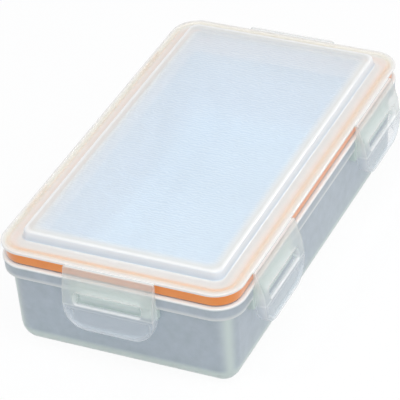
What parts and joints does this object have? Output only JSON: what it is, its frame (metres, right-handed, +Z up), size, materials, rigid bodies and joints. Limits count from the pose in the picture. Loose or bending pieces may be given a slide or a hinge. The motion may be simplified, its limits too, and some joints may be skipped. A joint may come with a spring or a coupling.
{
  "type": "battery case",
  "caption": "Frosted plastic storage box for loose round cells, with a hinged lid, a silicone seal and flap latches on three sides.",
  "frame": {"origin": "middle of the tub's flat underside", "axes": "+Z up, +Y along the box towards its back short side, +X towards the side with two latches, opposite the lid's hinges"},
  "size_m": [0.0865, 0.148, 0.0407],
  "materials": {
    "tub_plastic": "frosted natural polypropylene, faintly glossy",
    "lid_plastic": "frosted natural polypropylene with a fine line emboss on the panel",
    "latch_plastic": "frosted natural polypropylene",
    "seal_silicone": "satin orange silicone",
    "pin_steel": "bright drawn wire"
  },
  "bodies": {
    "base": {"base_tub": "tub_plastic", "hinge_pin_front": "pin_steel", "hinge_pin_rear": "pin_steel"},
    "lid": {"lid_cover": "lid_plastic", "seal_ring": "seal_silicone"},
    "latch_front": {"latch_front": "latch_plastic"},
    "latch_back": {"latch_back": "latch_plastic"},
    "latch_right_front": {"latch_right_front": "latch_plastic"},
    "latch_right_rear": {"latch_right_rear": "latch_plastic"}
  },
  "joints": [
    {"name": "lid_hinge", "type": "hinge", "parent": "base", "child": "lid", "pos_m": [-0.0406, 0, 0.0315], "axis": [0, -1, 0], "range_deg": [0, 180]},
    {"name": "latch_front_hinge", "type": "hinge", "parent": "lid", "child": "latch_front", "pos_m": [0, -0.0708, 0.0372], "axis": [-1, 0, 0], "range_deg": [0, 150]},
    {"name": "latch_back_hinge", "type": "hinge", "parent": "lid", "child": "latch_back", "pos_m": [0, 0.0708, 0.0372], "axis": [1, 0, 0], "range_deg": [0, 150]},
    {"name": "latch_right_front_hinge", "type": "hinge", "parent": "lid", "child": "latch_right_front", "pos_m": [0.0408, -0.041, 0.0372], "axis": [0, -1, 0], "range_deg": [0, 150]},
    {"name": "latch_right_rear_hinge", "type": "hinge", "parent": "lid", "child": "latch_right_rear", "pos_m": [0.0408, 0.041, 0.0372], "axis": [0, -1, 0], "range_deg": [0, 150]}
  ]
}
